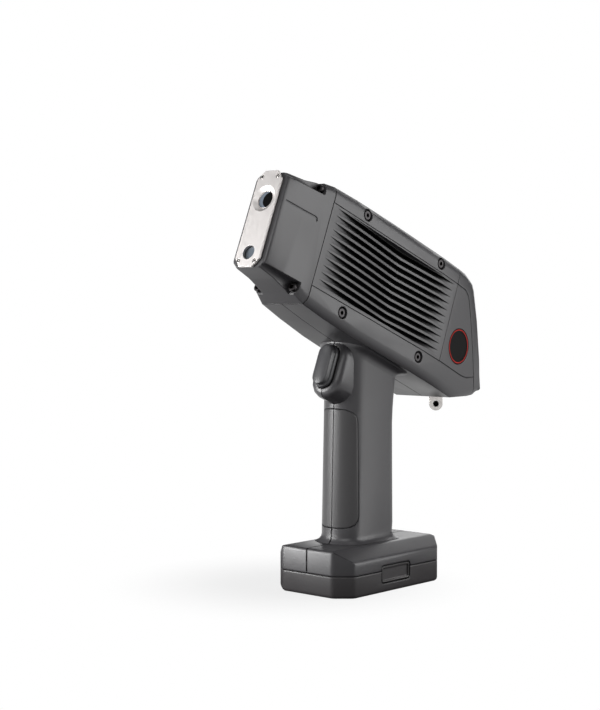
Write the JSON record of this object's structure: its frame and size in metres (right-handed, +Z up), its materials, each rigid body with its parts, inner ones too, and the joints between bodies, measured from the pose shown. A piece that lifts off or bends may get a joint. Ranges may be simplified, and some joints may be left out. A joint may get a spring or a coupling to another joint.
{
  "type": "handheld xrf analyzer",
  "caption": "Pistol-shaped X-ray fluorescence analyzer standing on its battery foot: tilted body with finned heat sinks, steel nose plate, trigger, rear display and slide-out battery.",
  "frame": {"origin": "centre of the flat underside of the battery foot", "axes": "+Z up, -Y towards the nose, +X out of the side that carries the left hand panel seen in the picture"},
  "size_m": [0.0638, 0.2118, 0.266],
  "materials": {
    "housing_grey": "satin",
    "base_grey": "fine grained",
    "rubber_grey": "matte",
    "sink_grey": "satin",
    "stainless": "brushed",
    "dark_steel": "black oxide",
    "window_glass": "clear",
    "badge_black": "gloss",
    "block_aluminium": "machined",
    "tube_brass": "turned",
    "board_green": "matte",
    "cell_blue": "matte"
  },
  "bodies": {
    "housing": {"left_housing": "housing_grey", "right_housing": "housing_grey", "nose_housing": "housing_grey", "nose_plate": "stainless", "analysis_window": "window_glass", "camera_window": "window_glass", "camera_module": "badge_black", "nose_block": "block_aluminium", "detector": "stainless", "filter_motor": "dark_steel", "xray_tube": "tube_brass", "high_voltage_supply": "badge_black", "main_board": "board_green", "left_heat_sink": "sink_grey", "right_heat_sink": "sink_grey", "left_rear_panel": "housing_grey", "right_rear_panel": "housing_grey", "left_badge": "badge_black", "right_badge": "badge_black", "rear_housing": "housing_grey", "display_glass": "window_glass", "display_module": "badge_black", "trigger_spring": "stainless", "trigger_switch": "badge_black", "left_grip_pad": "rubber_grey", "right_grip_pad": "rubber_grey", "battery_contacts": "badge_black", "nose_plate_screw_1": "dark_steel", "nose_bolt_1": "dark_steel", "left_side_screw_1": "dark_steel", "right_side_screw_1": "dark_steel", "nose_plate_screw_2": "dark_steel", "nose_bolt_2": "dark_steel", "left_side_screw_2": "dark_steel", "right_side_screw_2": "dark_steel", "nose_plate_screw_3": "dark_steel", "nose_bolt_3": "dark_steel", "left_side_screw_3": "dark_steel", "right_side_screw_3": "dark_steel", "nose_plate_screw_4": "dark_steel", "nose_bolt_4": "dark_steel", "left_side_screw_4": "dark_steel", "right_side_screw_4": "dark_steel"},
    "battery": {"battery_base": "base_grey", "battery_stem": "cell_blue", "left_latch_spring": "stainless", "right_latch_spring": "stainless"},
    "left_latch": {"left_latch": "base_grey"},
    "right_latch": {"right_latch": "base_grey"},
    "trigger": {"trigger": "rubber_grey"},
    "power_button": {"power_button": "rubber_grey"},
    "filter_wheel": {"filter_wheel": "block_aluminium"},
    "lanyard_eye": {"lanyard_eye": "stainless"}
  },
  "joints": [
    {"name": "battery_slide", "type": "slide", "parent": "housing", "child": "battery", "axis": [0, 0, -1], "range_m": [0, 0.105]},
    {"name": "left_latch_press", "type": "slide", "parent": "battery", "child": "left_latch", "axis": [-1, 0, 0], "range_m": [0, 0.002], "stiffness_N_per_m": 150, "springref_m": -0.006, "deforming": ["left_latch_spring"]},
    {"name": "right_latch_press", "type": "slide", "parent": "battery", "child": "right_latch", "axis": [1, 0, 0], "range_m": [0, 0.002], "stiffness_N_per_m": 150, "springref_m": -0.006, "deforming": ["right_latch_spring"]},
    {"name": "trigger_pull", "type": "slide", "parent": "housing", "child": "trigger", "axis": [0, 0.9255, -0.3786], "range_m": [0, 0.0035], "stiffness_N_per_m": 300, "springref_m": -0.005, "deforming": ["trigger_spring"]},
    {"name": "power_button_press", "type": "slide", "parent": "housing", "child": "power_button", "axis": [0, -0.991, -0.1339], "range_m": [0, 0.0008], "stiffness_N_per_m": 60, "springref_m": -0.01},
    {"name": "filter_wheel_turn", "type": "hinge", "parent": "housing", "child": "filter_wheel", "pos_m": [0, -0.07504, 0.23025], "axis": [0, 0.9255, -0.3786], "continuous": true},
    {"name": "lanyard_eye_swivel", "type": "hinge", "parent": "housing", "child": "lanyard_eye", "pos_m": [0, 0.083, 0.12], "axis": [0, 0, 1], "continuous": true}
  ]
}
